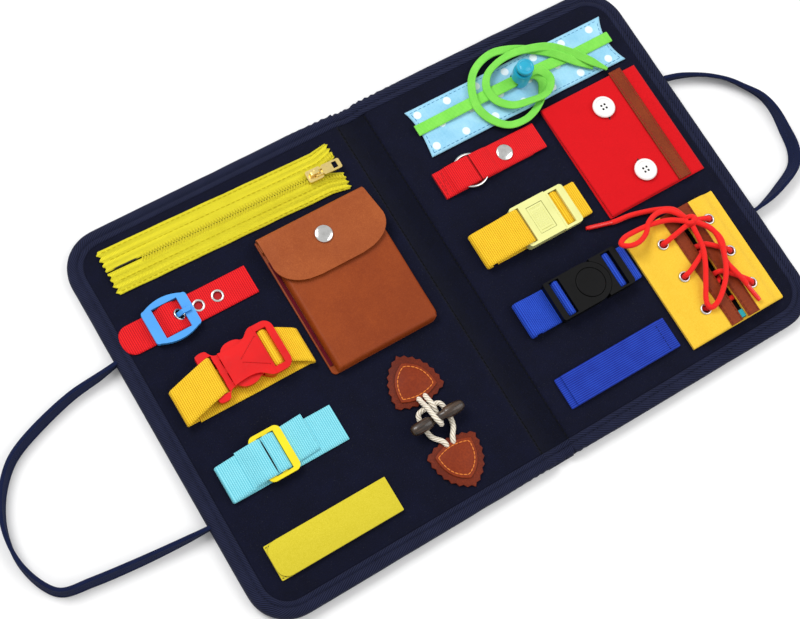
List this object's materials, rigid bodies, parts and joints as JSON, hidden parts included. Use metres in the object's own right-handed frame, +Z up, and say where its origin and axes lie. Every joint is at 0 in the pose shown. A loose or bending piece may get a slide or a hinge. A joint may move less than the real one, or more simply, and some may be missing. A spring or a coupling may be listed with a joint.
{
  "type": "busy board",
  "caption": "Folding felt busy board of two padded pages with strap handles and dressing fasteners: zip, belt, clips, pouch, toggle, buttons, drawstring and laces.",
  "frame": {"origin": "middle of the spine's underside, on the surface that the open board lies on", "axes": "+X along the open board towards the right page, +Y up the pages towards the zip and the drawstring, +Z up out of the felt"},
  "size_m": [0.5903, 0.274, 0.0306],
  "materials": {
    "navy_felt": "matte felt",
    "navy_twill": "matte twill",
    "navy_strap": "woven strap",
    "board": "matte",
    "zip_tape": "woven tape",
    "brass": "satin",
    "red_web": "woven strap",
    "blue_plastic": "gloss",
    "gold_web": "woven strap",
    "blue_web": "woven strap",
    "red_plastic": "gloss",
    "aqua_web": "woven strap",
    "yellow_plastic": "gloss",
    "yellow_grip": "hook and loop",
    "leather": "satin",
    "patch_leather": "satin",
    "horn": "polished",
    "dotted_cotton": "printed cotton",
    "green_lace": "woven lace",
    "cyan_plastic": "gloss",
    "steel": "polished",
    "red_felt": "matte felt",
    "white_button": "gloss",
    "cream_plastic": "satin",
    "black_plastic": "satin",
    "blue_grip": "hook and loop",
    "yellow_felt": "matte felt",
    "red_lace": "woven lace"
  },
  "bodies": {
    "spine": {"spine_cover": "navy_twill", "spine_lining": "navy_felt"},
    "left_page": {"left_cover": "navy_twill", "left_stiffener": "board", "left_felt": "navy_felt", "zip_tape_upper": "zip_tape", "zip_tape_lower": "zip_tape", "belt_strap": "red_web", "belt_anchor": "red_web", "belt_buckle_frame": "blue_plastic", "side_release_socket": "red_plastic", "side_release_base_strap": "gold_web", "slide_base_strap": "aqua_web", "yellow_loop_strip": "yellow_grip", "pouch_body": "leather", "toggle_tab_upper": "patch_leather", "toggle_tab_lower": "patch_leather"},
    "right_page": {"right_cover": "navy_twill", "right_stiffener": "board", "right_felt": "navy_felt", "casing": "dotted_cotton", "drawstring": "green_lace", "ring_strap": "red_web", "button_panel_base": "red_felt", "button_flap": "red_felt", "press_base_strap": "gold_web", "press_tongue": "cream_plastic", "push_base_strap": "blue_web", "push_blade": "black_plastic", "blue_loop_strip": "blue_grip", "lacing_panel": "yellow_felt", "shoelace": "red_lace"},
    "left_handle_strap": {"left_handle": "navy_strap"},
    "right_handle_strap": {"right_handle": "navy_strap"},
    "zip_slider_body": {"zip_slider": "brass"},
    "zip_pull_tab": {"zip_pull": "brass"},
    "prong": {"belt_prong": "blue_plastic"},
    "clip_plug": {"side_release_plug": "red_plastic", "side_release_plug_strap": "gold_web"},
    "slide": {"triglide": "yellow_plastic", "slide_strap_bight": "aqua_web"},
    "yellow_upper": {"yellow_hook_strip": "yellow_grip"},
    "flap": {"pouch_flap": "leather"},
    "toggle_bar": {"toggle": "horn"},
    "lock": {"cord_lock_body": "cyan_plastic", "drawstring_outer_end": "green_lace", "drawstring_inner_end": "green_lace"},
    "lock_button": {"cord_lock_button": "cyan_plastic"},
    "steel_ring": {"ring": "steel"},
    "tab": {"snap_tab": "red_web"},
    "flap_edge": {"button_flap_edge": "leather"},
    "upper_button": {"button_upper": "white_button"},
    "lower_button": {"button_lower": "white_button"},
    "press_body": {"press_buckle_body": "cream_plastic", "press_body_strap": "gold_web"},
    "press_button": {"press_plate": "cream_plastic"},
    "push_body": {"push_buckle_body": "black_plastic", "push_body_strap": "blue_web"},
    "push_disc": {"push_button": "black_plastic"},
    "blue_upper": {"blue_hook_strip": "blue_grip"}
  },
  "joints": [
    {"name": "left_fold", "type": "hinge", "parent": "spine", "child": "left_page", "pos_m": [-0.0095, 0, 0.004], "axis": [0, 1, 0], "range_deg": [0, 85]},
    {"name": "right_fold", "type": "hinge", "parent": "spine", "child": "right_page", "pos_m": [0.0095, 0, 0.004], "axis": [0, -1, 0], "range_deg": [0, 85]},
    {"name": "left_handle_swing", "type": "hinge", "parent": "left_page", "child": "left_handle_strap", "pos_m": [-0.2126, -0.005, 0.01], "axis": [0, -1, 0], "range_deg": [-100, 0]},
    {"name": "right_handle_swing", "type": "hinge", "parent": "right_page", "child": "right_handle_strap", "pos_m": [0.2126, -0.0024, 0.01], "axis": [0, 1, 0], "range_deg": [-100, 0]},
    {"name": "zip_slide", "type": "slide", "parent": "left_page", "child": "zip_slider_body", "axis": [0.9996, -0.0265, 0], "range_m": [-0.117, 0]},
    {"name": "zip_pull_lift", "type": "hinge", "parent": "zip_slider_body", "child": "zip_pull_tab", "pos_m": [-0.04172, 0.10248, 0.0144], "axis": [0.0265, 0.9996, 0], "range_deg": [-170, 0]},
    {"name": "belt_prong_lift", "type": "hinge", "parent": "left_page", "child": "prong", "pos_m": [-0.169, 0.06124, 0.01], "axis": [0, 1, 0], "range_deg": [-14, 0]},
    {"name": "plug_slide", "type": "slide", "parent": "left_page", "child": "clip_plug", "axis": [1, 0, 0], "range_m": [-0.018, 0]},
    {"name": "triglide_slide", "type": "slide", "parent": "left_page", "child": "slide", "axis": [1, 0, 0], "range_m": [-0.014, 0.012]},
    {"name": "yellow_peel", "type": "hinge", "parent": "left_page", "child": "yellow_upper", "pos_m": [-0.105, -0.10124, 0.00945], "axis": [0, -1, 0], "range_deg": [-70, 0]},
    {"name": "pouch_flap_lift", "type": "hinge", "parent": "left_page", "child": "flap", "pos_m": [-0.0598, 0.0769, 0.01385], "axis": [1, 0, 0], "range_deg": [-150, 0]},
    {"name": "toggle_roll", "type": "hinge", "parent": "left_page", "child": "toggle_bar", "pos_m": [-0.0583, -0.0751, 0.0164], "axis": [1, 0, 0], "range_deg": [-60, 60]},
    {"name": "cord_lock_slide", "type": "slide", "parent": "right_page", "child": "lock", "axis": [1, 0, 0], "range_m": [-0.018, 0]},
    {"name": "cord_lock_press", "type": "slide", "parent": "lock", "child": "lock_button", "axis": [0, 0, 1], "range_m": [-0.003, 0], "stiffness_N_per_m": 300},
    {"name": "ring_turn", "type": "hinge", "parent": "right_page", "child": "steel_ring", "pos_m": [0.0517, 0.05754, 0.0108], "axis": [0, 0, 1], "range_deg": [-30, 30]},
    {"name": "snap_tab_lift", "type": "hinge", "parent": "right_page", "child": "tab", "pos_m": [0.055, 0.05754, 0.0135], "axis": [0, 1, 0], "range_deg": [-60, 0]},
    {"name": "button_edge_lift", "type": "hinge", "parent": "right_page", "child": "flap_edge", "pos_m": [0.167, 0.0274, 0.0111], "axis": [0, 1, 0], "range_deg": [-60, 0]},
    {"name": "button_upper_turn", "type": "hinge", "parent": "right_page", "child": "upper_button", "pos_m": [0.1577, 0.0534, 0.012], "axis": [0, 0, 1], "range_deg": [-45, 45]},
    {"name": "button_lower_turn", "type": "hinge", "parent": "right_page", "child": "lower_button", "pos_m": [0.1577, 0.0014, 0.012], "axis": [0, 0, 1], "range_deg": [-45, 45]},
    {"name": "press_body_slide", "type": "slide", "parent": "right_page", "child": "press_body", "axis": [1, 0, 0], "range_m": [-0.013, 0]},
    {"name": "press_plate_press", "type": "slide", "parent": "press_body", "child": "press_button", "axis": [0, 0, 1], "range_m": [-0.0012, 0], "stiffness_N_per_m": 600},
    {"name": "push_body_slide", "type": "slide", "parent": "right_page", "child": "push_body", "axis": [1, 0, 0], "range_m": [-0.013, 0]},
    {"name": "push_button_press", "type": "slide", "parent": "push_body", "child": "push_disc", "axis": [0, 0, 1], "range_m": [-0.002, 0], "stiffness_N_per_m": 500},
    {"name": "blue_peel", "type": "hinge", "parent": "right_page", "child": "blue_upper", "pos_m": [0.027, -0.10124, 0.00945], "axis": [0, 1, 0], "range_deg": [-70, 0]}
  ]
}
